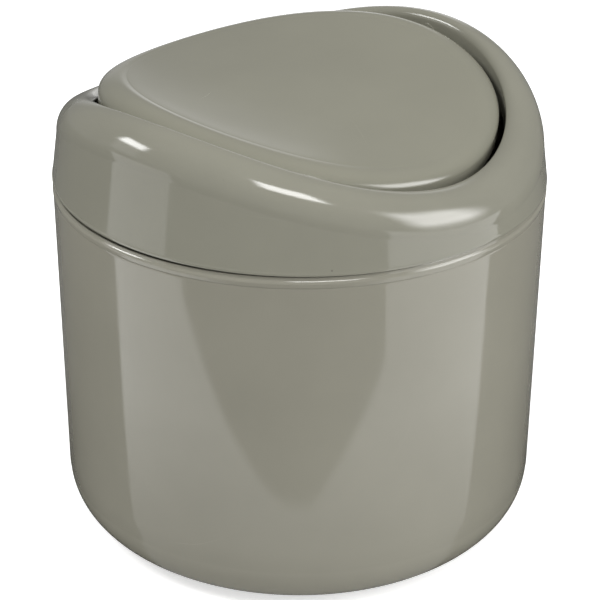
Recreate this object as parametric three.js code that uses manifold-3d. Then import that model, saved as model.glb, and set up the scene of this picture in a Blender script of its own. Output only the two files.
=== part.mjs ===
// Kitchen compost bin: a round bucket, a lift-off lid ring and a swinging flap.
// Millimetres, +Z up. The origin is the centre of the base.
// The lid's crest is highest at +X and -X, where the flap has its pivots.
// It is lowest at +Y and at -Y, which is the front.

import * as THREE from "three";
import { mergeVertices } from "three/addons/utils/BufferGeometryUtils.js";
import Module from "manifold-3d";

// Bin body
const rimHeight = 106;
const rimRadius = 70.35;
const bodyTaper = 0.65;
const cornerRadius = 14.8;
const bodyWall = 2;
const floorThickness = 2.4;
const footWidth = 6;
const footHeight = 1.2;
const beadHeight = 3.4;
const beadStandOut = 0.2;
const beadEdge = 0.4;

// Lid ring, outside
const seamGap = 0.4;
const lidOverhang = 0.3;
const lidInset = 10;
const crestRise = 23;
const crestWave = 8.7;
const lidLeanShare = 0.127;
const outerRollWidth = 7.6;
const outerRollHeight = 10;
const lipRollRadius = 1.8;
const lidEdge = 0.4;

// Lid ring, hidden side
const lidWall = 2;
const throatDepth = 9;
const throatDepthWave = 2;
const plugGap = 0.5;
const plugWall = 1.8;
const plugDepth = 7;
const plugShoulder = 1.2;
const plugSlope = 2.4;
const plugChamfer = 0.6;

// Swing flap
const flapGap = 2.5;
const flapHollow = 7.9;
const creaseDrop = 6.1;
const creaseWave = 5.8;
const flapWall = 2;
const flapRollRadius = 3.4;
const flapRollWave = 1.3;
const flapEdgeDepth = 5.2;
const flapInnerRoll = 0.5;
const restTilt = THREE.MathUtils.degToRad(4.1);

// Pivots
const pivotDrop = 6.2;
const pivotBalance = 0.13;
const pinRadius = 1.9;
const pinSeatGap = 0.15;
const pinRunningGap = 0.3;
const pinHeadRadius = 2.8;
const pinHeadThickness = 1.2;
const pinChamfer = 0.4;
const pinEndGap = 0.3;
const earWall = 1.5;
const earLength = 4.6;
const earInset = 1;
const bossWall = 1.2;
const bossGap = 0.6;
const cutOverrun = 1;

// Resolution
const roundSteps = 72;
const pinSteps = 24;
const cornerSteps = 8;
const rollSteps = 8;
const lipSteps = 5;
const wallSteps = 3;
const flapRings = 6;
const flapRollSteps = 6;
const creasePasses = 6;

// Places that the pieces share
const quarterTurn = Math.PI / 2;
const fullTurn = 2 * Math.PI;
const seamHeight = rimHeight + seamGap;
const baseRadius = rimRadius - bodyTaper;
const rimInnerRadius = rimRadius - bodyWall;
const lidRadius = rimRadius + lidOverhang;
const lipRadius = lidRadius - lidInset;
const crestMiddle = seamHeight + crestRise;
const crestHigh = crestMiddle + crestWave;
const throatRadius = lipRadius - lipRollRadius;
const flapRadius = throatRadius - flapGap;
const pivotHeight = crestHigh - pivotDrop;
const flapCentre = pivotDrop - flapHollow;
const creaseMiddle = pivotDrop - creaseDrop;
const earRadius = pinRadius + pinSeatGap + earWall;
const earOuter = flapRadius - earInset;
const earInner = earOuter - earLength;
const boreRadius = pinRadius + pinRunningGap;
const bossRadius = boreRadius + bossWall;
const bossInner = flapRadius + bossGap;

const bodyMaterial = new THREE.MeshStandardMaterial({ color: 0x8a887b, roughness: 0.18, metalness: 0 });
const lidMaterial = new THREE.MeshStandardMaterial({ color: 0x8b897c, roughness: 0.18, metalness: 0 });
const flapMaterial = new THREE.MeshStandardMaterial({ color: 0x8f8c80, roughness: 0.2, metalness: 0 });
const pinMaterial = new THREE.MeshStandardMaterial({ color: 0x85837a, roughness: 0.35, metalness: 0 });

// Section points [radius, height] on an elliptic arc
function arc(centre, radii, from, to, steps) {
  const points = [];
  for (let step = 0; step <= steps; step += 1) {
    const angle = from + ((to - from) * step) / steps;
    points.push([centre[0] + radii[0] * Math.cos(angle), centre[1] + radii[1] * Math.sin(angle)]);
  }
  return points;
}

// Section points on a straight line, without its two ends
function between(start, end, steps) {
  const points = [];
  for (let step = 1; step < steps; step += 1) {
    const share = step / steps;
    points.push([start[0] + (end[0] - start[0]) * share, start[1] + (end[1] - start[1]) * share]);
  }
  return points;
}

// Solid of revolution about Z from a section that starts and ends on the axis
function turned(section, steps) {
  const outline = section.map(([radius, height]) => new THREE.Vector2(radius, height));
  const geometry = new THREE.LatheGeometry(outline, steps);
  geometry.rotateX(quarterTurn);
  return geometry;
}

// Closed surface through one section per azimuth, which runs outwards over the top and back below
function swept(sectionAt, closesOnItself) {
  const rows = [];
  for (let step = 0; step < roundSteps; step += 1) {
    const azimuth = (fullTurn * step) / roundSteps;
    const place = ([radius, height]) =>
      new THREE.Vector3(radius * Math.cos(azimuth), radius * Math.sin(azimuth), height);
    rows.push(sectionAt(azimuth).map(place));
  }
  const corners = [];
  const addTriangle = (a, b, c) => {
    if (!a.equals(b) && !b.equals(c) && !c.equals(a)) corners.push(a, b, c);
  };
  rows.forEach((row, index) => {
    const next = rows[(index + 1) % roundSteps];
    const lastPoint = closesOnItself ? row.length : row.length - 1;
    for (let point = 0; point < lastPoint; point += 1) {
      const following = (point + 1) % row.length;
      addTriangle(row[point], row[following], next[following]);
      addTriangle(row[point], next[following], next[point]);
    }
  });
  return new THREE.BufferGeometry().setFromPoints(corners);
}

// Cylinder along X, on one side of the middle, about an axis given by its Y and Z
function crossCylinder(radius, from, to, side, axis) {
  const geometry = new THREE.CylinderGeometry(radius, radius, to - from, pinSteps);
  geometry.rotateZ(quarterTurn);
  geometry.translate((side * (from + to)) / 2, axis[0], axis[1]);
  return geometry;
}

const wasm = await Module();
wasm.setup();

function toSolid(geometry) {
  const bare = geometry.clone();
  bare.deleteAttribute("normal");
  bare.deleteAttribute("uv");
  const merged = mergeVertices(bare);
  const mesh = new wasm.Mesh({
    numProp: 3,
    vertProperties: new Float32Array(merged.attributes.position.array),
    triVerts: new Uint32Array(merged.index.array),
  });
  return new wasm.Manifold(mesh);
}

function fromSolid(solid) {
  const mesh = solid.getMesh();
  const geometry = new THREE.BufferGeometry();
  geometry.setAttribute("position", new THREE.BufferAttribute(new Float32Array(mesh.vertProperties), 3));
  geometry.setIndex(new THREE.BufferAttribute(new Uint32Array(mesh.triVerts), 1));
  geometry.computeVertexNormals();
  return geometry;
}

// Adds a boss and then cuts its bore, at both ends of the pivot axis
function withPivots(geometry, boss, bore, axis) {
  let solid = toSolid(geometry);
  for (const side of [1, -1]) {
    solid = solid.add(toSolid(crossCylinder(boss.radius, boss.from, boss.to, side, axis)));
    solid = solid.subtract(toSolid(crossCylinder(bore.radius, bore.from, bore.to, side, axis)));
  }
  return fromSolid(solid);
}

// Bucket with a foot ring, a large bottom corner and a bead round its rim
function makeBody() {
  const lean = bodyTaper / rimHeight;
  const wallAt = (height) => baseRadius + lean * height;
  const cornerCentre = baseRadius - cornerRadius;
  const innerCorner = cornerRadius - bodyWall;
  const floorTop = footHeight + floorThickness;
  const beadBottom = rimHeight - beadHeight;
  const beadRadius = rimRadius + beadStandOut;
  const innerCentre = [wallAt(floorTop) - bodyWall - innerCorner, floorTop + innerCorner];
  const section = [
    [0, footHeight],
    [cornerCentre - footWidth, footHeight],
    [cornerCentre - footWidth, 0],
    ...arc([cornerCentre, cornerRadius], [cornerRadius, cornerRadius], -quarterTurn, 0, cornerSteps),
    [wallAt(beadBottom), beadBottom],
    [beadRadius, beadBottom + beadEdge],
    [beadRadius, rimHeight - beadEdge],
    [beadRadius - beadEdge, rimHeight],
    [rimInnerRadius, rimHeight],
    ...arc(innerCentre, [innerCorner, innerCorner], 0, -quarterTurn, cornerSteps),
    [0, floorTop],
  ];
  return turned(section, roundSteps);
}

// Section of the lid ring at one azimuth, from the outer wall over the crest
function lidSection(azimuth) {
  const wave = Math.cos(2 * azimuth);
  const crest = crestMiddle + crestWave * wave;
  const wallAt = (height) => lidRadius - lidLeanShare * (height - seamHeight);
  const wallTop = crest - outerRollHeight;
  const rollCentre = [wallAt(wallTop) - outerRollWidth, wallTop];
  const rollEnd = Math.acos(Math.min(1, Math.max(0, (lipRadius - rollCentre[0]) / outerRollWidth)));
  const outerRoll = arc(rollCentre, [outerRollWidth, outerRollHeight], 0, rollEnd, rollSteps);
  const last = outerRoll[rollSteps];
  const climb = Math.atan2(outerRollHeight * Math.cos(rollEnd), outerRollWidth * Math.sin(rollEnd));
  const lipCentre = [
    last[0] - lipRollRadius * Math.sin(climb),
    last[1] - lipRollRadius * Math.cos(climb),
  ];
  const lipRoll = arc(lipCentre, [lipRollRadius, lipRollRadius], quarterTurn - climb, Math.PI, lipSteps);
  const throat = lipCentre[0] - lipRollRadius;
  const throatBottom = crest - throatDepth - throatDepthWave * wave;
  const roofInner = throat + lidWall;
  const roofWidth = wallAt(wallTop) - lidWall - roofInner;
  const roofHeight = outerRollHeight - lidWall;
  const shoulder = seamHeight + plugShoulder;
  const slopeTop = shoulder + plugSlope;
  const plugOuter = rimInnerRadius - plugGap;
  const plugInner = plugOuter - plugWall;
  const plugBottom = seamHeight - plugDepth;
  const outerFoot = [wallAt(seamHeight + lidEdge), seamHeight + lidEdge];
  const section = [
    [lidRadius - lidEdge, seamHeight],
    outerFoot,
    ...between(outerFoot, outerRoll[0], wallSteps),
    ...outerRoll,
    ...lipRoll.slice(1),
    [throat, throatBottom],
    [roofInner, throatBottom],
    ...arc([roofInner, wallTop], [roofWidth, roofHeight], quarterTurn, 0, lipSteps),
    [wallAt(slopeTop) - lidWall, slopeTop],
    [plugInner, shoulder],
    [plugInner, plugBottom],
    [plugOuter - plugChamfer, plugBottom],
    [plugOuter, plugBottom + plugChamfer],
    [plugOuter, seamHeight],
  ];
  return section.reverse();
}

function makeLid() {
  const boss = { radius: bossRadius, from: bossInner, to: throatRadius + lidWall / 2 };
  const bore = { radius: boreRadius, from: bossInner - cutOverrun, to: throatRadius + lidWall + cutOverrun };
  return withPivots(swept(lidSection, true), boss, bore, [pivotBalance, pivotHeight]);
}

// Section of the flap at one azimuth, with heights from the pivot axis.
// Its top rises or falls from the centre to a crease, where the rolled edge starts.
function flapSection(azimuth) {
  const wave = Math.cos(2 * azimuth);
  const roll = flapRollRadius + flapRollWave * wave;
  const creaseHeight = creaseMiddle + creaseWave * wave;
  const climb = creaseHeight - flapCentre;
  let crease = flapRadius - roll;
  for (let pass = 0; pass < creasePasses; pass += 1) {
    crease = flapRadius - roll * (1 + Math.sin(Math.atan((2 * climb) / crease)));
  }
  const topAt = (radius) => flapCentre + climb * (radius / crease) ** 2;
  const slopeAt = (radius) => Math.atan((2 * climb * radius) / crease ** 2);
  const underAt = (radius) => topAt(radius) - flapWall / Math.cos(slopeAt(radius));
  const slope = slopeAt(crease);
  const rollCentre = [crease + roll * Math.sin(slope), creaseHeight - roll * Math.cos(slope)];
  const innerRoll = Math.max(roll - flapWall, flapInnerRoll);
  const skirtBottom = creaseHeight - flapEdgeDepth;
  const skirtInner = flapRadius - flapWall;
  const innerCentre = [skirtInner - innerRoll, rollCentre[1]];
  const radii = Array.from({ length: flapRings }, (_, ring) => (crease * ring) / flapRings);
  return [
    ...radii.map((radius) => [radius, topAt(radius)]),
    ...arc(rollCentre, [roll, roll], quarterTurn + slope, 0, flapRollSteps),
    [flapRadius, skirtBottom],
    [skirtInner, skirtBottom],
    ...arc(innerCentre, [innerRoll, innerRoll], 0, quarterTurn, flapRollSteps),
    ...radii.reverse().map((radius) => [radius, underAt(radius)]),
  ];
}

function makeFlap() {
  const shell = swept(flapSection, false);
  shell.translate(0, -pivotBalance, 0);
  const ear = { radius: earRadius, from: earInner, to: earOuter };
  const bore = { radius: pinRadius + pinSeatGap, from: earInner - cutOverrun, to: flapRadius + cutOverrun };
  return withPivots(shell, ear, bore, [0, 0]);
}

// Headed pin, pushed outwards through the flap's ear into the lid's boss
function makePin() {
  const headOuter = earInner - pinEndGap;
  const tip = throatRadius + lidWall - pinEndGap;
  const section = [
    [0, headOuter - pinHeadThickness],
    [pinHeadRadius - pinChamfer, headOuter - pinHeadThickness],
    [pinHeadRadius, headOuter - pinHeadThickness + pinChamfer],
    [pinHeadRadius, headOuter],
    [pinRadius, headOuter],
    [pinRadius, tip - pinChamfer],
    [pinRadius - pinChamfer, tip],
    [0, tip],
  ];
  const geometry = turned(section, pinSteps);
  geometry.rotateY(quarterTurn);
  return geometry;
}

function namedMesh(name, geometry, material) {
  const mesh = new THREE.Mesh(geometry, material);
  mesh.name = name;
  return mesh;
}

const compostBin = new THREE.Group();
compostBin.add(namedMesh("bin_body", makeBody(), bodyMaterial));
compostBin.add(namedMesh("lid_ring", makeLid(), lidMaterial));

// The flap and its pins turn together about the pivot axis
const swingGroup = new THREE.Group();
swingGroup.position.set(0, pivotBalance, pivotHeight);
swingGroup.rotation.x = restTilt;
const flap = namedMesh("swing_flap", makeFlap(), flapMaterial);
const rightPin = namedMesh("right_pivot_pin", makePin(), pinMaterial);
const leftPin = namedMesh("left_pivot_pin", makePin(), pinMaterial);
leftPin.rotation.z = Math.PI;
swingGroup.add(flap, rightPin, leftPin);
compostBin.add(swingGroup);

export default compostBin;
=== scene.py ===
"""Looks of the kitchen compost bin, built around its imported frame.

Sizes are in millimetres until they enter a mesh, and directions in the studio are in degrees.
"""

import math

import bmesh
import bpy
from mathutils import Matrix, Vector


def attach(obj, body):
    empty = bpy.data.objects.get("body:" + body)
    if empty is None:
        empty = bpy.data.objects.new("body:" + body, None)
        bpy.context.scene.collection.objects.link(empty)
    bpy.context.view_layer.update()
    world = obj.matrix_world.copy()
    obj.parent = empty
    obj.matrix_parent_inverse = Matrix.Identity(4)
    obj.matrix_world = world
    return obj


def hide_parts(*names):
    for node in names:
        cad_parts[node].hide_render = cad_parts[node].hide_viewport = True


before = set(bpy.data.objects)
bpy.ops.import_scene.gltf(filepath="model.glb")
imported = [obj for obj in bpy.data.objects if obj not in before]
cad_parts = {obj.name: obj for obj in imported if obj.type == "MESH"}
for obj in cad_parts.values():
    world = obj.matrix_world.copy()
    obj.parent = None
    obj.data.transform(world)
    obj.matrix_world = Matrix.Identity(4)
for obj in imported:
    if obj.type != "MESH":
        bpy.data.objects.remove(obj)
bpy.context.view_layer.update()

MM = 0.001
QUARTER = math.pi / 2

# Bin body
RIM_HEIGHT = 106
RIM_RADIUS = 70.47
BASE_RADIUS = 69.62
BODY_LEAN = (RIM_RADIUS - BASE_RADIUS) / RIM_HEIGHT
CORNER_RADIUS = 14.8
BODY_WALL = 2
FLOOR_THICKNESS = 2.4
FLOOR_FIRST_RING = 8
FOOT_WIDTH = 6
FOOT_HEIGHT = 1.2
BEAD_OUT = 0.12
BEAD_LOW = 102.95
BEAD_ROLL = 1.5
BEAD_MIDDLE = 103.9
RIM_TOP = 105.98
RIM_LAND_DEPTH = 0.5
RIM_WALL = 0.6
RIM_WALL_DEPTH = 5

# Small turns of the rim's outline, as steps inwards and upwards
BEAD_GROOVE = ((0.06, -0.2), (0.1, -0.04))
BEAD_EDGE = ((0.09, 0.06), (0.06, 0.14))
BEAD_FACE = ((0.05, -0.3), (0.03, -0.12))
RIM_LAND = ((0.46, 1.13), (0.48, 1.25))
RIM_OUTER_EDGE = ((0.55, -0.25), (0.57, -0.15), (0.63, -0.04), (0.75, 0))
RIM_INNER_EDGE = ((-0.15, 0), (-0.05, -0.1), (0, -0.5))
RIM_STEP_EDGE = ((0, 0.2), (0.2, 0))
RIM_STEP_FOOT = ((-0.2, 0), (0, -0.2))

# Seam: it opens wider on one side, 84 degrees to the left of the camera's
SEAM_HEIGHT = 106.4
SEAM_DIP = 0.2
SEAM_OPEN = 0.85
SEAM_OPEN_SIDE = math.radians(137.5)
SEAM_OPEN_NARROWING = 3.5
SEAM_RIM_DIP = 0.55

# Lid ring
LID_RADIUS = 70.65
LID_LEAN = 0.137
LID_WALL = 2
CREST_MIDDLE = 129.43
CREST_WAVE = 8.8
OUTER_ROLL_WIDTH = 8.25
OUTER_ROLL_HEIGHT = 10
LIP_ROLL_HEIGHT = 1.9
LIP_HEIGHT_WAVE = 0.5
THROAT_RADIUS = 57.9
THROAT_WAVE = -0.35
THROAT_DEPTH = 9
THROAT_DEPTH_WAVE = 2
LID_FOOT_INSET = 0.06
LID_FOOT_ROUND = 0.22
LID_FOOT_FACE = ((0, 0.68), (0.01, 0.75))
PLUG_OUTER = 67.85
PLUG_WALL = 1.8
PLUG_DEPTH = 7
PLUG_SHOULDER = 1.2
PLUG_SLOPE = 2.4
PLUG_OUTER_CHAMFER = 0.6
PLUG_INNER_CHAMFER = 0.3
PLUG_TOP_FILLET = 0.2

# Swing flap: its top is a saddle, height = centre + (bend + twist * wave) * radius squared
FLAP_RADIUS = 56.5
FLAP_CENTRE = -0.18
FLAP_BEND = 0.00031
FLAP_TWIST = 0.0019
FLAP_WALL = 2
FLAP_ROLL_WIDTH = 6.35
FLAP_WIDTH_WAVE = -0.2
FLAP_ROLL_HEIGHT = 3.6
FLAP_HEIGHT_RISE = 2.5
FLAP_RISE_NARROWING = 3
FLAP_EDGE_DEPTH = 7.2
FLAP_INNER_ROLL = 0.5
FLAP_RINGS = 24
CREASE_TRIES = 8
REST_TILT = math.radians(4.1)

# Fine step along the flap's crease, as steps inwards with the share of its depth
CREASE_STEP_DEPTH = 0.035
CREASE_STEP_INSET = 1.6
CREASE_STEP = ((1.7, 0), (1.6, 0.1), (1.3, 0.9), (1.2, 1), (1.05, 0.95), (0.25, 0.1))

# Pivots
PIVOT_Y = 0.13
PIVOT_HEIGHT = 131.9
PIN_RADIUS = 1.9
PIN_END = 60.55
PIN_HEAD_RADIUS = 2.6
PIN_HEAD_RING = 1.2
PIN_HEAD = 1.2
PIN_HEAD_GAP = 0.3
PIN_HEAD_CHAMFER = 0.1
PIN_ROUND = ((0.4, 0), (0.12, 0.12), (0, 0.4))
EAR_RADIUS = 3
EAR_OUTER = 54
EAR_INNER = 50.75
EAR_BORE = 2.05
BOSS_RADIUS = 3.4
BOSS_INNER = 57.05
BOSS_OUTER = 59.85
BOSS_BORE = 2.2
BORE_PAST_FACE = 1
BORE_PAST_PIN = 1.3

# Small rounds of edges, and the gaps between them and the stretches beside them
SMALL_ROUND = 0.35
UNDERSIDE_GAP = 1.2
FOOT_INNER_GAP = 1
FOOT_OUTER_GAP = 0.4
WALL_LOW_GAP = 0.3
WALL_HIGH_GAP = 0.4
INNER_WALL_GAP = 0.6
FLOOR_GAP = 0.6
LID_FOOT_TOP = 0.9
LID_FOOT_TOP_INSET = 0.02
LID_WALL_LOW = 1.3
LIP_GAP = 0.3
THROAT_GAP = 0.4
SKIRT_TOP = 0.6
SKIRT_TOP_GAP = 0.15
SKIRT_LOW = 0.4
INNER_ROLL_LOW = 0.5

# Fineness of the meshes
AROUND = 288
ROD_SIDES = 48
CORNER_STEPS = 28
INNER_CORNER_STEPS = 20
WALL_STEPS = 16
INNER_WALL_STEPS = 10
FLOOR_STEPS = 4
UNDERSIDE_STEPS = 3
FOOT_STEPS = 2
BEAD_STEPS = 9
OUTER_ROLL_STEPS = 30
LIP_ROLL_STEPS = 18
LID_WALL_STEPS = 8
LID_ROOF_STEPS = 10
THROAT_STEPS = 3
FLAP_ROLL_STEPS = 28
FLAP_INNER_STEPS = 8
SKIRT_STEPS = 2
EDGE_STEPS = 4
ROUND_STEPS = 5
ON_AXIS = 1e-6
SHARP_ANGLE = math.radians(38)

# A straight stretch is held by points this near to its ends, or by this share of it
HOLD = 0.25
HOLD_SHARE = 0.3


def arc(centre, radii, start, end, steps):
    """Section points (radius, height) on an elliptic arc."""
    angles = [start + (end - start) * step / steps for step in range(steps + 1)]
    return [(centre[0] + radii[0] * math.cos(a), centre[1] + radii[1] * math.sin(a)) for a in angles]


def round_arc(centre, radius, start, end, steps):
    """Section points on a circular arc."""
    return arc(centre, (radius, radius), start, end, steps)


def line(start, end, steps):
    """Section points on a straight line, both ends with it."""
    shares = [step / steps for step in range(steps + 1)]
    return [(start[0] + (end[0] - start[0]) * s, start[1] + (end[1] - start[1]) * s) for s in shares]


def held(start, end, steps):
    """A straight line with a point close to each end, which keeps its shading flat."""
    share = min(HOLD_SHARE, HOLD / math.dist(start, end))
    near = (start[0] + (end[0] - start[0]) * share, start[1] + (end[1] - start[1]) * share)
    far = (end[0] - (end[0] - start[0]) * share, end[1] - (end[1] - start[1]) * share)
    return [start] + line(near, far, steps) + [end]


def stepped(place, steps):
    """Section points given as steps inwards and upwards from one place."""
    return [(place[0] - inwards, place[1] + upwards) for inwards, upwards in steps]


def rounded(corner, before, after, radius):
    """The round that takes the place of a section's corner between two other points."""
    a = Vector((before[0] - corner[0], before[1] - corner[1])).normalized()
    b = Vector((after[0] - corner[0], after[1] - corner[1])).normalized()
    half = a.angle(b) / 2
    centre = Vector(corner) + (a + b).normalized() * (radius / math.sin(half))
    first = Vector(corner) + a * (radius / math.tan(half)) - centre
    last = Vector(corner) + b * (radius / math.tan(half)) - centre
    turn = first.angle_signed(last)
    points = []
    for step in range(ROUND_STEPS + 1):
        spin = -turn * step / ROUND_STEPS
        x = first.x * math.cos(spin) - first.y * math.sin(spin)
        y = first.x * math.sin(spin) + first.y * math.cos(spin)
        points.append((centre.x + x, centre.y + y))
    return points


def bridge(bm, columns, closes=False):
    """Faces between neighbouring columns of vertices, each of which goes once round."""
    around = len(columns[0])
    pairs = list(zip(columns, columns[1:])) + ([(columns[-1], columns[0])] if closes else [])
    for first, second in pairs:
        for step in range(around):
            after = (step + 1) % around
            corners = [first[step], first[after], second[after], second[step]]
            bm.faces.new(list(dict.fromkeys(corners)))
    bmesh.ops.recalc_face_normals(bm, faces=bm.faces)


def swept(name, section_at, closes):
    """Object from one section per azimuth; points on the axis become one vertex."""
    bm = bmesh.new()
    azimuths = [2 * math.pi * step / AROUND for step in range(AROUND)]
    sections = [section_at(azimuth) for azimuth in azimuths]
    columns = []
    for index in range(len(sections[0])):
        if sections[0][index][0] < ON_AXIS:
            pole = bm.verts.new((0, 0, sections[0][index][1] * MM))
            columns.append([pole] * AROUND)
            continue
        column = []
        for azimuth, section in zip(azimuths, sections):
            radius, height = section[index]
            x = radius * math.cos(azimuth) * MM
            y = radius * math.sin(azimuth) * MM
            column.append(bm.verts.new((x, y, height * MM)))
        columns.append(column)
    bridge(bm, columns, closes)
    return finished(name, bm)


def cross_turned(name, profile, side):
    """Turned shape about the X axis from (radius, distance) points."""
    bm = bmesh.new()
    turns = [2 * math.pi * step / ROD_SIDES for step in range(ROD_SIDES)]
    columns = []
    for radius, along in profile:
        x = side * along * MM
        if radius == 0:
            columns.append([bm.verts.new((x, 0, 0))] * ROD_SIDES)
            continue
        places = [(x, radius * math.cos(turn) * MM, radius * math.sin(turn) * MM) for turn in turns]
        columns.append([bm.verts.new(place) for place in places])
    bridge(bm, columns)
    return finished(name, bm)


def cross_rod(radius, start, end, side):
    """Closed rod along X on one side of the middle, about the pivot axis."""
    return cross_turned("rod", [(0, start), (radius, start), (radius, end), (0, end)], side)


def finished(name, bm):
    """Object from the mesh in work."""
    mesh = bpy.data.meshes.new(name)
    bm.to_mesh(mesh)
    bm.free()
    piece = bpy.data.objects.new(name, mesh)
    bpy.context.scene.collection.objects.link(piece)
    soften(piece)
    return piece


def soften(piece):
    """Smooth shading that keeps real edges."""
    for polygon in piece.data.polygons:
        polygon.use_smooth = True
    piece.data.set_sharp_from_angle(angle=SHARP_ANGLE)


def combine(piece, tool, operation):
    """Joins a tool to a piece or cuts it out, and removes the tool."""
    modifier = piece.modifiers.new(operation.lower(), "BOOLEAN")
    modifier.operation = operation
    modifier.solver = "EXACT"
    modifier.object = tool
    bpy.context.view_layer.update()
    evaluated = piece.evaluated_get(bpy.context.evaluated_depsgraph_get())
    mesh = bpy.data.meshes.new_from_object(evaluated)
    piece.modifiers.clear()
    piece.data = mesh
    bpy.data.objects.remove(tool)
    soften(piece)


def at_pivot(piece, tilt):
    """Moves a piece's mesh from the pivot axis to its place."""
    turn = Matrix.Rotation(tilt, 4, "X")
    piece.data.transform(Matrix.Translation((0, PIVOT_Y * MM, PIVOT_HEIGHT * MM)) @ turn)


def seam_opening(azimuth):
    """1 where the seam is widest, falling to 0 all round."""
    return (0.5 + 0.5 * math.cos(azimuth - SEAM_OPEN_SIDE)) ** SEAM_OPEN_NARROWING


def body_wall(height, inwards=0):
    """Point of the bucket's outer wall, or inside it."""
    return (BASE_RADIUS + BODY_LEAN * height - inwards, height)


def underside_points(corner_middle):
    """Underside of the bucket from the axis out to the foot ring's outer side."""
    foot_inner = corner_middle - FOOT_WIDTH
    above = (foot_inner, FOOT_HEIGHT)
    below = (foot_inner, 0)
    points = [(0, FOOT_HEIGHT)]
    underside_end = (foot_inner - UNDERSIDE_GAP, FOOT_HEIGHT)
    points += line((FLOOR_FIRST_RING, FOOT_HEIGHT), underside_end, UNDERSIDE_STEPS)
    points += rounded(above, (0, FOOT_HEIGHT), below, SMALL_ROUND)
    points += rounded(below, above, (corner_middle, 0), SMALL_ROUND)
    points += line((foot_inner + FOOT_INNER_GAP, 0), (corner_middle - FOOT_OUTER_GAP, 0), FOOT_STEPS)
    return points


def rim_points(top, inner, step_low):
    """Rim from the groove under the bead over the bead and the thin upright wall to the inner side."""
    bead = RIM_RADIUS + BEAD_OUT
    thin = bead - RIM_LAND_DEPTH - RIM_WALL
    points = stepped(body_wall(BEAD_LOW), BEAD_GROOVE)
    points += stepped((bead, BEAD_LOW), BEAD_EDGE)
    points += stepped((bead, BEAD_MIDDLE), BEAD_FACE)
    points += round_arc((bead - BEAD_ROLL, BEAD_MIDDLE), BEAD_ROLL, 0, QUARTER / 2, BEAD_STEPS)
    points += stepped((bead, BEAD_MIDDLE), RIM_LAND)
    points += stepped((bead, top), RIM_OUTER_EDGE)
    points += stepped((thin, top), RIM_INNER_EDGE)
    points += stepped((thin, step_low), RIM_STEP_EDGE)
    points += stepped((inner, step_low), RIM_STEP_FOOT)
    return points


def body_section(azimuth):
    """Bucket in one direction: underside, corner, outer wall, rim, inner wall and floor."""
    corner_middle = BASE_RADIUS - CORNER_RADIUS
    floor_top = FOOT_HEIGHT + FLOOR_THICKNESS
    inner_corner = CORNER_RADIUS - BODY_WALL
    inner_middle = body_wall(floor_top, BODY_WALL)[0] - inner_corner
    inner_low = floor_top + inner_corner
    rim_inner = RIM_RADIUS - BODY_WALL
    step_low = RIM_TOP - RIM_WALL_DEPTH
    section = underside_points(corner_middle)
    section += round_arc((corner_middle, CORNER_RADIUS), CORNER_RADIUS, -QUARTER, 0, CORNER_STEPS)
    wall_ends = body_wall(CORNER_RADIUS + WALL_LOW_GAP), body_wall(BEAD_LOW - WALL_HIGH_GAP)
    section += held(*wall_ends, WALL_STEPS)[1:]
    section += rim_points(RIM_TOP - SEAM_RIM_DIP * seam_opening(azimuth), rim_inner, step_low)
    inner_top = (rim_inner, step_low - INNER_WALL_GAP)
    section += held(inner_top, body_wall(inner_low, BODY_WALL), INNER_WALL_STEPS)
    section += round_arc((inner_middle, inner_low), inner_corner, 0, -QUARTER, INNER_CORNER_STEPS)[1:]
    section += line((inner_middle - FLOOR_GAP, floor_top), (FLOOR_FIRST_RING, floor_top), FLOOR_STEPS)
    section += [(0, floor_top)]
    return section


def lid_wall(height, inwards=0):
    """Point of the lid ring's outer wall, or inside it."""
    return (LID_RADIUS - LID_LEAN * (height - SEAM_HEIGHT) - inwards, height)


def lid_foot_points(low):
    """Lower edge of the lid ring, which stands a little behind its wall."""
    foot = LID_RADIUS - LID_FOOT_INSET
    middle = (foot - LID_FOOT_ROUND, low + LID_FOOT_ROUND)
    points = round_arc(middle, LID_FOOT_ROUND, -QUARTER, 0, ROUND_STEPS)
    points += stepped((foot, low), LID_FOOT_FACE)
    points += [lid_wall(low + LID_FOOT_TOP, LID_FOOT_TOP_INSET)]
    return points


def plug_points(low):
    """Plug skirt from the inside of the lid's wall, down round its bottom and up to the lid's lower edge."""
    shoulder = SEAM_HEIGHT + PLUG_SHOULDER
    inner = PLUG_OUTER - PLUG_WALL
    bottom = SEAM_HEIGHT - PLUG_DEPTH
    return [
        lid_wall(shoulder + PLUG_SLOPE, LID_WALL), (inner, shoulder),
        (inner, bottom + PLUG_INNER_CHAMFER), (inner + PLUG_INNER_CHAMFER, bottom),
        (PLUG_OUTER - PLUG_OUTER_CHAMFER, bottom), (PLUG_OUTER, bottom + PLUG_OUTER_CHAMFER),
        (PLUG_OUTER, low - PLUG_TOP_FILLET), (PLUG_OUTER + PLUG_TOP_FILLET, low),
    ]


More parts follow.
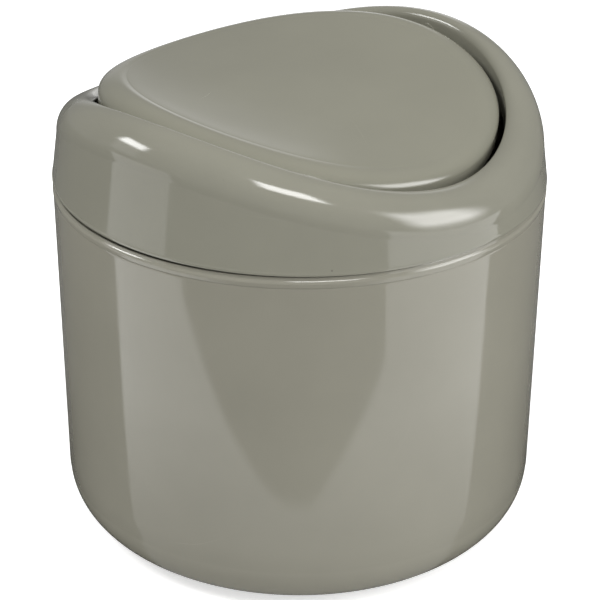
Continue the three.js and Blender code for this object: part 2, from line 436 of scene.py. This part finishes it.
def lid_section(azimuth):
    """Lid ring in one direction: foot, outer wall, outer roll, lip roll, throat, inside and plug skirt."""
    wave = math.cos(2 * azimuth)
    crest = CREST_MIDDLE + CREST_WAVE * wave
    low = SEAM_HEIGHT - SEAM_DIP + SEAM_OPEN * seam_opening(azimuth)
    wall_top = crest - OUTER_ROLL_HEIGHT
    apex = lid_wall(wall_top)[0] - OUTER_ROLL_WIDTH
    throat = THROAT_RADIUS + THROAT_WAVE * wave
    lip_height = LIP_ROLL_HEIGHT + LIP_HEIGHT_WAVE * wave
    lip_low = crest - lip_height
    throat_bottom = crest - THROAT_DEPTH - THROAT_DEPTH_WAVE * wave
    inner = throat + LID_WALL
    roof = (lid_wall(wall_top)[0] - LID_WALL - inner, OUTER_ROLL_HEIGHT - LID_WALL)
    edge = throat_bottom + SMALL_ROUND
    outer_roll = arc((apex, wall_top), (OUTER_ROLL_WIDTH, OUTER_ROLL_HEIGHT), 0, QUARTER, OUTER_ROLL_STEPS)
    section = lid_foot_points(low)
    section += held(lid_wall(low + LID_WALL_LOW), outer_roll[0], LID_WALL_STEPS)[:-1]
    section += outer_roll
    section += arc((apex, lip_low), (apex - throat, lip_height), QUARTER, 2 * QUARTER, LIP_ROLL_STEPS)[1:]
    section += held((throat, lip_low - LIP_GAP), (throat, throat_bottom + THROAT_GAP), THROAT_STEPS)
    section += round_arc((throat + SMALL_ROUND, edge), SMALL_ROUND, 2 * QUARTER, 3 * QUARTER, EDGE_STEPS)
    section += round_arc((inner - SMALL_ROUND, edge), SMALL_ROUND, -QUARTER, 0, EDGE_STEPS)
    section += arc((inner, wall_top), roof, QUARTER, 0, LID_ROOF_STEPS)
    section += plug_points(low)
    return section


def flap_section(azimuth):
    """Flap in one direction: saddle top, crease, rolled edge, skirt, inner roll and underside."""
    wave = math.cos(2 * azimuth)
    wide = FLAP_ROLL_WIDTH + FLAP_WIDTH_WAVE * wave
    high = FLAP_ROLL_HEIGHT + FLAP_HEIGHT_RISE * (0.5 + 0.5 * wave) ** FLAP_RISE_NARROWING
    bend = FLAP_BEND + FLAP_TWIST * wave

    def top(radius):
        return FLAP_CENTRE + bend * radius ** 2

    def slope(radius):
        return math.atan(2 * bend * radius)

    def under(radius):
        return top(radius) - FLAP_WALL / math.cos(slope(radius))

    crease = FLAP_RADIUS - wide
    for _ in range(CREASE_TRIES):
        steep = math.atan(wide / high * math.tan(slope(crease)))
        crease = FLAP_RADIUS - wide * (1 + math.sin(steep))
    roll_middle = (FLAP_RADIUS - wide, top(crease) - high * math.cos(steep))
    inner_roll = (wide - FLAP_WALL, max(high - FLAP_WALL, FLAP_INNER_ROLL))
    bottom = top(crease) - FLAP_EDGE_DEPTH
    inner = FLAP_RADIUS - FLAP_WALL
    edge = bottom + SMALL_ROUND
    radii = [(crease - CREASE_STEP_INSET) * ring / FLAP_RINGS for ring in range(FLAP_RINGS)]
    section = [(radius, top(radius)) for radius in radii]
    for inwards, drop in CREASE_STEP:
        section += [(crease - inwards, top(crease - inwards) - CREASE_STEP_DEPTH * drop)]
    section += arc(roll_middle, (wide, high), QUARTER + steep, 0, FLAP_ROLL_STEPS)
    skirt_top = min(roll_middle[1] - SKIRT_TOP_GAP, bottom + SKIRT_TOP)
    section += line((FLAP_RADIUS, skirt_top), (FLAP_RADIUS, bottom + SKIRT_LOW), SKIRT_STEPS)
    section += round_arc((FLAP_RADIUS - SMALL_ROUND, edge), SMALL_ROUND, 0, -QUARTER, EDGE_STEPS)
    section += round_arc((inner + SMALL_ROUND, edge), SMALL_ROUND, -QUARTER, -2 * QUARTER, EDGE_STEPS)
    inner_middle = (roll_middle[0], max(roll_middle[1], bottom + INNER_ROLL_LOW))
    section += arc(inner_middle, inner_roll, 0, QUARTER + steep, FLAP_INNER_STEPS)
    section += [(radius, under(radius)) for radius in reversed(radii)]
    return section


def pin_profile():
    """Pin from the middle of its head to its end, as (radius, distance from the bin's middle)."""
    head_end = EAR_INNER - PIN_HEAD_GAP
    head_start = head_end - PIN_HEAD
    points = [(0, head_start), (PIN_HEAD_RING, head_start)]
    points += [(PIN_HEAD_RADIUS - inwards, head_start + along) for inwards, along in PIN_ROUND]
    points += [(PIN_HEAD_RADIUS, head_end - PIN_HEAD_CHAMFER), (PIN_HEAD_RADIUS - PIN_HEAD_CHAMFER, head_end)]
    points += [(PIN_RADIUS, head_end)]
    points += [(PIN_RADIUS - inwards, PIN_END - along) for inwards, along in reversed(PIN_ROUND)]
    points += [(0, PIN_END)]
    return points


def build_lid_and_flap():
    """Lid ring with its bored bosses, and flap with its bored ears."""
    lid = swept("lid_shell", lid_section, True)
    flap = swept("flap_shell", flap_section, False)
    flap.data.transform(Matrix.Translation((0, -PIVOT_Y * MM, 0)))
    for side in (1, -1):
        combine(flap, cross_rod(EAR_RADIUS, EAR_INNER, EAR_OUTER, side), "UNION")
        ear_bore = cross_rod(EAR_BORE, EAR_INNER - BORE_PAST_FACE, FLAP_RADIUS + BORE_PAST_FACE, side)
        combine(flap, ear_bore, "DIFFERENCE")
        boss = cross_rod(BOSS_RADIUS, BOSS_INNER, BOSS_OUTER, side)
        at_pivot(boss, 0)
        combine(lid, boss, "UNION")
        bore = cross_rod(BOSS_BORE, BOSS_INNER - BORE_PAST_FACE, PIN_END + BORE_PAST_PIN, side)
        at_pivot(bore, 0)
        combine(lid, bore, "DIFFERENCE")
    at_pivot(flap, REST_TILT)
    return lid, flap


def build_pin(name, side):
    """Headed pin on one side, turned with the flap."""
    pin = cross_turned(name, pin_profile(), side)
    at_pivot(pin, REST_TILT)
    return pin


body = swept("bucket_shell", body_section, False)
lid, flap = build_lid_and_flap()
right_pin = build_pin("right_pin", 1)
left_pin = build_pin("left_pin", -1)


class Nodes:
    """Short way to write the node tree of a material or a world, which starts empty."""

    def __init__(self, owner):
        owner.use_nodes = True
        self.owner = owner
        self.tree = owner.node_tree
        self.tree.nodes.clear()

    def add(self, kind, inputs=None, **settings):
        node = self.tree.nodes.new(kind)
        for key, value in settings.items():
            setattr(node, key, value)
        for key, value in (inputs or {}).items():
            socket = node.inputs[key]
            if isinstance(value, bpy.types.NodeSocket):
                self.tree.links.new(value, socket)
            else:
                socket.default_value = value
        return node

    def math(self, operation, first, second=0.0):
        return self.add("ShaderNodeMath", {0: first, 1: second}, operation=operation).outputs[0]

    def mix(self, factor, first, second):
        return self.add("ShaderNodeMix", {0: factor, 6: first, 7: second}, data_type="RGBA").outputs[2]

    def ramp(self, value, low, high, start=0.0, end=1.0):
        inputs = {"Value": value, "From Min": low, "From Max": high, "To Min": start, "To Max": end}
        return self.add("ShaderNodeMapRange", inputs, clamp=True).outputs[0]

    def noise(self, place, scale, detail, rough=0.5, distortion=0.0):
        inputs = {"Vector": place, "Scale": scale, "Detail": detail, "Roughness": rough}
        return self.add("ShaderNodeTexNoise", {**inputs, "Distortion": distortion}).outputs[0]

    def surface(self, shader, output="ShaderNodeOutputMaterial"):
        """Ends the tree with its shader."""
        self.add(output, {"Surface": shader})


def new_material(name):
    """Empty node tree of a new material."""
    return Nodes(bpy.data.materials.new(name))


def linear(r, g, b):
    """Linear colour from 0-255 display values."""
    values = [v / 255 for v in (r, g, b)]
    return [v / 12.92 if v <= 0.04045 else ((v + 0.055) / 1.055) ** 2.4 for v in values]


def shade(colour, share):
    """The colour times a share, as a socket takes it."""
    return [min(1, part * share) for part in colour] + [1]


# Plastic surface. A noise is its scale per metre, detail, roughness and distortion, and a range is two levels
# of it
CLOUD_NOISE = (26, 3.0, 0.55)
CLOUD_RANGE = (0.3, 0.7)
CLOUD_SHADES = (0.965, 1.03)
SPECK_SCALE = 150
SPECK_RARITY = 0.86
SPECK_SIZE = 0.045
SPECK_SHADE = 0.35
SPECK_STRENGTH = 0.5
HAIR_NOISE = (19, 1.0, 0.4, 0.6)
HAIR_WIDTH = 0.0011
PATCH_NOISE = (34, 1.0)
PATCH_RANGE = (0.56, 0.66)
SCUFF_SHADE = 1.5
SCUFF_STRENGTH = 0.08
SCUFF_ROUGHNESS = 0.2
SCUFF_DEPTH = 0.01
SMEAR_NOISE = (42, 4.0, 0.65, 0.8)
SMEAR_RANGE = (0.45, 0.75)
SMEAR_ROUGHNESS = 0.045
PEEL_NOISE = (620, 2.0)
PEEL_DEPTH = 0.02
WAVE_NOISE = (38, 1.0, 0.4)
BUMP_DISTANCE = 0.00006
PLASTIC_IOR = 1.5
PATTERN_OFFSET = (1, 0.7, 1.3)


def plastic(name, colour, roughness, seed):
    """Glossy moulded plastic with faint colour clouds, specks, hairline scuffs, smears and orange peel."""
    nodes = new_material(name)
    place = nodes.add("ShaderNodeTexCoord").outputs["Object"]
    offset = [seed * part for part in PATTERN_OFFSET]
    moved = nodes.add("ShaderNodeVectorMath", {0: place, 1: offset}, operation="ADD").outputs[0]

    clouds = nodes.ramp(nodes.noise(moved, *CLOUD_NOISE), *CLOUD_RANGE)
    tone = nodes.mix(clouds, shade(colour, CLOUD_SHADES[0]), shade(colour, CLOUD_SHADES[1]))

    cells = nodes.add("ShaderNodeTexVoronoi", {"Vector": moved, "Scale": SPECK_SCALE}, feature="F1")
    chosen = nodes.add("ShaderNodeSeparateColor", {0: cells.outputs["Color"]}).outputs[0]
    size = nodes.ramp(chosen, SPECK_RARITY, 1.0, 0.0, SPECK_SIZE)
    speck = nodes.math("LESS_THAN", cells.outputs["Distance"], size)
    tone = nodes.mix(nodes.math("MULTIPLY", speck, SPECK_STRENGTH), tone, shade(colour, SPECK_SHADE))

    away = nodes.math("ABSOLUTE", nodes.math("SUBTRACT", nodes.noise(moved, *HAIR_NOISE), 0.5))
    hair = nodes.ramp(away, 0.0, HAIR_WIDTH, 1.0, 0.0)
    patches = nodes.ramp(nodes.noise(moved, *PATCH_NOISE), *PATCH_RANGE)
    scuff = nodes.math("MULTIPLY", hair, patches)
    tone = nodes.mix(nodes.math("MULTIPLY", scuff, SCUFF_STRENGTH), tone, shade(colour, SCUFF_SHADE))

    smears = nodes.ramp(nodes.noise(moved, *SMEAR_NOISE), *SMEAR_RANGE)
    smeared = nodes.ramp(smears, 0, 1, roughness, roughness + SMEAR_ROUGHNESS)
    rough = nodes.math("ADD", smeared, nodes.math("MULTIPLY", scuff, SCUFF_ROUGHNESS))

    peel = nodes.math("MULTIPLY", nodes.noise(moved, *PEEL_NOISE), PEEL_DEPTH)
    height = nodes.math("ADD", peel, nodes.noise(moved, *WAVE_NOISE))
    height = nodes.math("SUBTRACT", height, nodes.math("MULTIPLY", scuff, SCUFF_DEPTH))
    bump_inputs = {"Height": height, "Strength": 1.0, "Distance": BUMP_DISTANCE}
    bump = nodes.add("ShaderNodeBump", bump_inputs).outputs[0]

    inputs = {"Base Color": tone, "Roughness": rough, "Normal": bump, "IOR": PLASTIC_IOR}
    nodes.surface(nodes.add("ShaderNodeBsdfPrincipled", inputs).outputs[0])
    return nodes.owner


# The lid and flap are the same plastic as the body; their colours are set a little darker than the body's as
# painted shade, for less light from above than from below.
body_plastic = plastic("body_gloss_plastic", linear(137, 135, 123), roughness=0.075, seed=1.7)
lid_plastic = plastic("lid_gloss_plastic_painted_shade", linear(131, 130, 118), roughness=0.075, seed=4.1)
flap_plastic = plastic("flap_gloss_plastic_painted_shade", linear(131, 130, 117), roughness=0.1, seed=8.3)
pin_plastic = plastic("pin_satin_plastic", linear(126, 124, 114), roughness=0.3, seed=2.9)

for piece, node, ride_on, material, slot in (
    (body, "bin_body", "bucket", body_plastic, "body_plastic"),
    (lid, "lid_ring", "lid", lid_plastic, "lid_plastic"),
    (flap, "swing_flap", "flap", flap_plastic, "flap_plastic"),
    (right_pin, "right_pivot_pin", "flap", pin_plastic, "pin_plastic"),
    (left_pin, "left_pivot_pin", "flap", pin_plastic, "pin_plastic"),
):
    piece.data.materials.clear()
    piece.data.materials.append(material)
    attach(piece, ride_on)
    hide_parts(node)

# Camera, as the photograph was taken
VIEW_TURN = math.radians(-48.478)
VIEW_RISE = math.radians(26.864)
VIEW_ROLL = math.radians(0.2835)
VIEW_DISTANCE = 600
VIEW_TARGET = Vector((0.276, 0, 64.04))
CAMERA_SENSOR = 36
CAMERA_LENS = 121.464
CAMERA_NEAR = 10

# Softboxes that give the even light: azimuth to the right of the camera's, elevation, width and height as
# angles from the bin, and radiance
LAMPS = {
    "softbox_left": (-75, 47, 24, 20, 9.4),
    "softbox_top": (12, 61, 34, 18, 6.3),
    "softbox_right": (66, 28, 36, 30, 5),
}
LAMP_DISTANCE = 1100
LAMP_AIM_HEIGHT = 90

# Softboxes as the gloss sees them: azimuth, elevation, half width, half height, soft edges, radiance. The
# last two are the halves of one box across the back
SEEN_BOXES = (
    (-86, 30, 10, 5.5, 6, 6, 14),
    (-86, 18, 9, 12, 4, 8, 0.7),
    (14.5, 51.5, 18.5, 6.5, 10, 5, 15),
    (71, 24, 16, 14, 14, 14, 8.5),
    (71, 4, 16, 12, 14, 16, 1.6),
    (180, 3.5, 16, 6, 16, 9, 0.22),
    (-180, 3.5, 16, 6, 16, 9, 0.22),
)
SHELL_RADIUS = 1600
SHELL_GREY = 0.2

# Slanted glow at the back: two fades as elevation where it starts, where it ends, and radiance
BACK_GLOW = ((10.5, 14.5, 0.42), (14, 22, 0.25))
BACK_GLOW_SLANT = 1.25
BACK_GLOW_WINDOW = (177, 10, 8)
BACK_GLOW_TOP = (27, 36)

# Table as the gloss sees it, by azimuth away from the camera's side and by distance in metres
CARD_RADIUS = 1550
CARD_HEIGHT = -0.2
TABLE_DARK = 0.03
TABLE_BEHIND = 0.12
TABLE_BEHIND_FROM = (100, 130)
TABLE_FAR = 0.35
TABLE_FAR_FROM = (0.5, 1.1)
TABLE_FAR_SIDES = (159, 173)

# Bright sheet on the table, from the camera's side: its dark edge has two curves, which meet in a blunt
# tip in front of the bin, and straight stretches farther out. A curve is start, place it leans to, end.
SHEET_LEFT_FAR = ((-1300, 60), (-1300, -800), (-425, -270))
SHEET_LEFT_CURVE = ((-185, -175), (-80, -165), (-10, -130))
SHEET_RIGHT_CURVE = ((10, -130), (40, -155), (120, -180))
SHEET_RIGHT_FAR = ((900, -1150), (1300, 160))
SHEET_CURVE_STEPS = 4
SHEET_SOFT = 9
SHEET_SOFT_GROWS = 200
SHEET_LEAST_KEPT = 0.2
SHEET_HEIGHT = -0.1

# The sheet's near edge, which bends under the front of the bin
SHEET_NEAR_HALF = 60
SHEET_NEAR_FRONT = 46
SHEET_NEAR_BEND = 8

# Radiance of the sheet, by azimuth and by distance from the bin's middle in metres
SHEET_LEFT = 2.1
SHEET_LEFT_TURN = (-98, -30)
SHEET_FRONT = 1.3
SHEET_RIGHT_TURN = (20, 98)
SHEET_RIGHT = 1.8
SHEET_NEAR_SHARE = 0.08
SHEET_NEAR_FADE = (0.06, 0.17)
SHEET_FAR_SHARE = 0.6
SHEET_FAR_FADE = (0.3, 0.42)
SHEET_FAR_TURN = (-40, -20)

# Floor and world
FLOOR_RADIUS = 6000
FLOOR_HEIGHT = -0.4
FLOOR_COLOUR = (0.86, 0.86, 0.86, 1)
FLOOR_LIFT = 0.6
AMBIENT = 0.4
WHITE = (1, 1, 1, 1)
DISC_SIDES = 96

TURN = Matrix.Rotation(VIEW_TURN, 4, "Z")


def toward(azimuth, elevation):
    """Direction at an azimuth to the right of the camera's, and an elevation, both in degrees."""
    across, up = math.radians(azimuth), math.radians(elevation)
    level = math.cos(up)
    return TURN @ Vector((math.sin(across) * level, -math.cos(across) * level, math.sin(up)))


def add_camera():
    """Camera by script, level except for the photograph's small roll."""
    data = bpy.data.cameras.new("camera")
    data.sensor_width = CAMERA_SENSOR
    data.lens = CAMERA_LENS
    data.clip_start = CAMERA_NEAR * MM
    camera = bpy.data.objects.new("camera", data)
    bpy.context.scene.collection.objects.link(camera)
    forward = Vector((0, math.cos(VIEW_RISE), -math.sin(VIEW_RISE)))
    level = Vector((1, 0, 0))
    upward = Vector((0, math.sin(VIEW_RISE), math.cos(VIEW_RISE)))
    right = level * math.cos(VIEW_ROLL) + upward * math.sin(VIEW_ROLL)
    up = upward * math.cos(VIEW_ROLL) - level * math.sin(VIEW_ROLL)
    place = (VIEW_TARGET - forward * VIEW_DISTANCE) * MM
    basis = Matrix((right, up, -forward)).transposed().to_4x4()
    camera.matrix_world = TURN @ Matrix.Translation(place) @ basis
    bpy.context.scene.camera = camera


def lamp(name, azimuth, elevation, width, height, radiance):
    """Softbox that looks at the bin, which its gloss doesn't see."""
    distance = LAMP_DISTANCE * MM
    data = bpy.data.lights.new(name, "AREA")
    data.shape = "RECTANGLE"
    data.size = 2 * distance * math.tan(math.radians(width / 2))
    data.size_y = 2 * distance * math.tan(math.radians(height / 2))
    data.energy = radiance * data.size * data.size_y * math.pi
    box = bpy.data.objects.new(name, data)
    bpy.context.scene.collection.objects.link(box)
    direction = toward(azimuth, elevation)
    box.location = direction * distance + Vector((0, 0, LAMP_AIM_HEIGHT * MM))
    box.rotation_euler = direction.to_track_quat("Z", "Y").to_euler()
    box.visible_camera = False
    box.visible_glossy = False


def disc(name, radius, height):
    """Level round card about the bin's axis."""
    bm = bmesh.new()
    place = Matrix.Translation((0, 0, height * MM))
    bmesh.ops.create_circle(bm, cap_ends=True, radius=radius * MM, segments=DISC_SIDES, matrix=place)
    return finished(name, bm)


def only_in_gloss(piece, material):
    """Makes a card that shapes reflections and neither lights the bin nor shades it."""
    piece.data.materials.append(material)
    piece.visible_camera = False
    piece.visible_diffuse = False
    piece.visible_shadow = False
    piece.visible_transmission = False
    piece.visible_volume_scatter = False


def glowing(nodes, strength):
    """Ends a card's material with its glow."""
    nodes.surface(nodes.add("ShaderNodeEmission", {"Color": WHITE, "Strength": strength}).outputs[0])
    return nodes.owner


class Seen:
    """Where a shaded point of the stage is, as the bin sees it; azimuth 0 is the camera's side."""

    def __init__(self, nodes):
        self.nodes = nodes
        place = nodes.add("ShaderNodeTexCoord").outputs["Object"]
        turn = {"Vector": place, "Angle": -VIEW_TURN}
        self.place = nodes.add("ShaderNodeVectorRotate", turn, rotation_type="Z_AXIS").outputs[0]
        self.parts = nodes.add("ShaderNodeSeparateXYZ", {0: self.place}).outputs

    def azimuth(self):
        """Degrees to the right of the camera's side."""
        front = self.nodes.math("MULTIPLY", self.parts[1], -1.0)
        return self.nodes.math("DEGREES", self.nodes.math("ARCTAN2", self.parts[0], front))

    def elevation(self):
        """Degrees above the table."""
        squares = [self.nodes.math("MULTIPLY", part, part) for part in (self.parts[0], self.parts[1])]
        flat = self.nodes.math("SQRT", self.nodes.math("ADD", *squares))
        return self.nodes.math("DEGREES", self.nodes.math("ARCTAN2", self.parts[2], flat))

    def distance(self):
        """Metres from the bin's middle."""
        return self.nodes.add("ShaderNodeVectorMath", {0: self.place}, operation="LENGTH").outputs["Value"]


def window(nodes, value, middle, half, soft):
    """1 within half of the middle, falling to 0 over the soft width."""
    away = nodes.math("ABSOLUTE", nodes.math("SUBTRACT", value, middle))
    low, high = half - soft / 2, half + soft / 2
    inputs = {"Value": away, "From Min": low, "From Max": high, "To Min": 1.0, "To Max": 0.0}
    fade = nodes.add("ShaderNodeMapRange", inputs, interpolation_type="SMOOTHSTEP", clamp=True)
    return fade.outputs[0]


def back_glow(nodes, azimuth, elevation):
    """Radiance of the glow at the back, where azimuth is counted on past 180 degrees."""
    past_back = nodes.math("MULTIPLY", nodes.math("LESS_THAN", azimuth, 0.0), 360.0)
    around = nodes.math("ADD", azimuth, past_back)
    rise = nodes.math("MULTIPLY", nodes.math("SUBTRACT", around, 180.0), BACK_GLOW_SLANT)
    slant = nodes.math("ADD", elevation, rise)
    fades = [nodes.ramp(slant, low, high, radiance, 0.0) for low, high, radiance in BACK_GLOW]
    glow = nodes.math("MULTIPLY", nodes.math("ADD", *fades), window(nodes, around, *BACK_GLOW_WINDOW))
    return nodes.math("MULTIPLY", glow, nodes.ramp(elevation, *BACK_GLOW_TOP, 1.0, 0.0))


def add_shell():
    """Grey studio around the bin with its softboxes, as the gloss sees it."""
    bm = bmesh.new()
    bmesh.ops.create_uvsphere(bm, u_segments=DISC_SIDES, v_segments=DISC_SIDES // 2, radius=SHELL_RADIUS * MM)
    shell = finished("studio_shell", bm)
    nodes = new_material("studio_shell")
    seen = Seen(nodes)
    azimuth, elevation = seen.azimuth(), seen.elevation()
    total = SHELL_GREY
    for box_azimuth, box_elevation, half_width, half_height, soft_across, soft_up, radiance in SEEN_BOXES:
        across = window(nodes, azimuth, box_azimuth, half_width, soft_across)
        up = window(nodes, elevation, box_elevation, half_height, soft_up)
        lit = nodes.math("MULTIPLY", nodes.math("MULTIPLY", across, up), radiance)
        total = nodes.math("ADD", lit, total)
    total = nodes.math("ADD", back_glow(nodes, azimuth, elevation), total)
    only_in_gloss(shell, glowing(nodes, total))


def add_table_card():
    """The dark table as the gloss sees it, a little lighter behind the bin."""
    card = disc("table_card", CARD_RADIUS, CARD_HEIGHT)
    nodes = new_material("table_card")
    seen = Seen(nodes)
    away = nodes.math("ABSOLUTE", seen.azimuth())
    behind = nodes.ramp(away, *TABLE_BEHIND_FROM, TABLE_DARK, TABLE_BEHIND)
    far = nodes.ramp(seen.distance(), *TABLE_FAR_FROM)
    far = nodes.math("MULTIPLY", far, nodes.ramp(away, *TABLE_FAR_SIDES))
    level = nodes.math("ADD", behind, nodes.math("MULTIPLY", far, TABLE_FAR))
    only_in_gloss(card, glowing(nodes, level))


def moved_in(points, distance):
    """The same points moved towards the bin's axis, the far ones by more."""
    result = []
    for x, y in points:
        length = math.hypot(x, y)
        keep = max(SHEET_LEAST_KEPT, 1 - distance * max(1.0, length / SHEET_SOFT_GROWS) / length)
        result.append((x * keep, y * keep))
    return result


def leaning_curve(start, lean, end, steps):
    """Points of a smooth curve from start to end that leans to a third place."""
    points = []
    for step in range(steps + 1):
        share = step / steps
        parts = ((1 - share) ** 2, 2 * share * (1 - share), share * share)
        x = sum(part * place[0] for part, place in zip(parts, (start, lean, end)))
        y = sum(part * place[1] for part, place in zip(parts, (start, lean, end)))
        points.append((x, y))
    return points


def sheet_dark_edge():
    """Points of the sheet's dark edge, from the left round the tip to the right."""
    left = leaning_curve(*SHEET_LEFT_CURVE, SHEET_CURVE_STEPS)
    right = leaning_curve(*SHEET_RIGHT_CURVE, SHEET_CURVE_STEPS)
    return [*SHEET_LEFT_FAR, *left, *right, *SHEET_RIGHT_FAR]


def sheet_near_edge(count):
    """Points of the sheet's near edge, one for each of the dark edge."""
    shares = [2 * index / (count - 1) - 1 for index in range(count)]
    return [(SHEET_NEAR_HALF * s, -SHEET_NEAR_FRONT - SHEET_NEAR_BEND * s * s) for s in shares]


def sheet_mesh():
    """Sheet in two strips: bright from its near edge on, then fading to its dark edge."""
    bm = bmesh.new()
    fade = bm.verts.layers.float.new("fade")
    dark = sheet_dark_edge()
    rows = []
    for points, value in ((sheet_near_edge(len(dark)), 1.0), (moved_in(dark, SHEET_SOFT), 1.0), (dark, 0.0)):
        row = [bm.verts.new(TURN @ Vector((x, y, SHEET_HEIGHT)) * MM) for x, y in points]
        for vert in row:
            vert[fade] = value
        rows.append(row)
    for first, second in zip(rows, rows[1:]):
        for index in range(len(first) - 1):
            bm.faces.new([first[index], first[index + 1], second[index + 1], second[index]])
    bmesh.ops.recalc_face_normals(bm, faces=bm.faces)
    return bm


def add_table_sheet():
    """Bright sheet round the bin's front as the gloss sees it; it opens to both sides."""
    sheet = finished("table_sheet", sheet_mesh())
    nodes = new_material("table_sheet")
    seen = Seen(nodes)
    azimuth, distance = seen.azimuth(), seen.distance()
    left = nodes.ramp(azimuth, *SHEET_LEFT_TURN, SHEET_LEFT, SHEET_FRONT)
    right = nodes.ramp(azimuth, *SHEET_RIGHT_TURN, 0.0, SHEET_RIGHT - SHEET_FRONT)
    level = nodes.math("ADD", left, right)
    level = nodes.math("MULTIPLY", level, nodes.ramp(distance, *SHEET_NEAR_FADE, SHEET_NEAR_SHARE, 1.0))
    far_left = nodes.ramp(azimuth, *SHEET_FAR_TURN, 1.0, 0.0)
    far_left = nodes.math("MULTIPLY", nodes.ramp(distance, *SHEET_FAR_FADE), far_left)
    level = nodes.math("MULTIPLY", level, nodes.ramp(far_left, 0, 1, 1.0, SHEET_FAR_SHARE))
    share = nodes.add("ShaderNodeAttribute", attribute_name="fade").outputs["Fac"]
    level = nodes.math("ADD", nodes.math("MULTIPLY", level, share), TABLE_DARK)
    only_in_gloss(sheet, glowing(nodes, level))


def backdrop_white(nodes):
    """1 for rays that come from the camera, from gloss or through glass."""
    path = nodes.add("ShaderNodeLightPath").outputs
    seen = nodes.math("MAXIMUM", path["Is Camera Ray"], path["Is Glossy Ray"])
    return nodes.math("MAXIMUM", seen, path["Is Transmission Ray"])


def add_floor():
    """White floor that keeps the bin's shadow."""
    floor = disc("floor", FLOOR_RADIUS, FLOOR_HEIGHT)
    nodes = new_material("floor_paper")
    pale = nodes.add("ShaderNodeBsdfDiffuse", {"Color": FLOOR_COLOUR}).outputs[0]
    lift = nodes.add("ShaderNodeEmission", {"Color": WHITE, "Strength": FLOOR_LIFT}).outputs[0]
    both = nodes.add("ShaderNodeAddShader", {0: pale, 1: lift}).outputs[0]
    nodes.surface(nodes.add("ShaderNodeMixShader", {0: backdrop_white(nodes), 1: pale, 2: both}).outputs[0])
    floor.data.materials.append(nodes.owner)


def add_world():
    """Soft light from all round, which is white where it shows."""
    world = bpy.data.worlds.new("studio")
    bpy.context.scene.world = world
    nodes = Nodes(world)
    soft = nodes.add("ShaderNodeBackground", {"Color": WHITE, "Strength": AMBIENT}).outputs[0]
    white = nodes.add("ShaderNodeBackground", {"Color": WHITE, "Strength": 1.0}).outputs[0]
    surface = nodes.add("ShaderNodeMixShader", {0: backdrop_white(nodes), 1: soft, 2: white}).outputs[0]
    nodes.surface(surface, "ShaderNodeOutputWorld")


add_camera()
for name, settings in LAMPS.items():
    lamp(name, *settings)
add_world()
add_floor()
add_shell()
add_table_card()
add_table_sheet()

scene = bpy.context.scene
scene.view_settings.view_transform = "Standard"
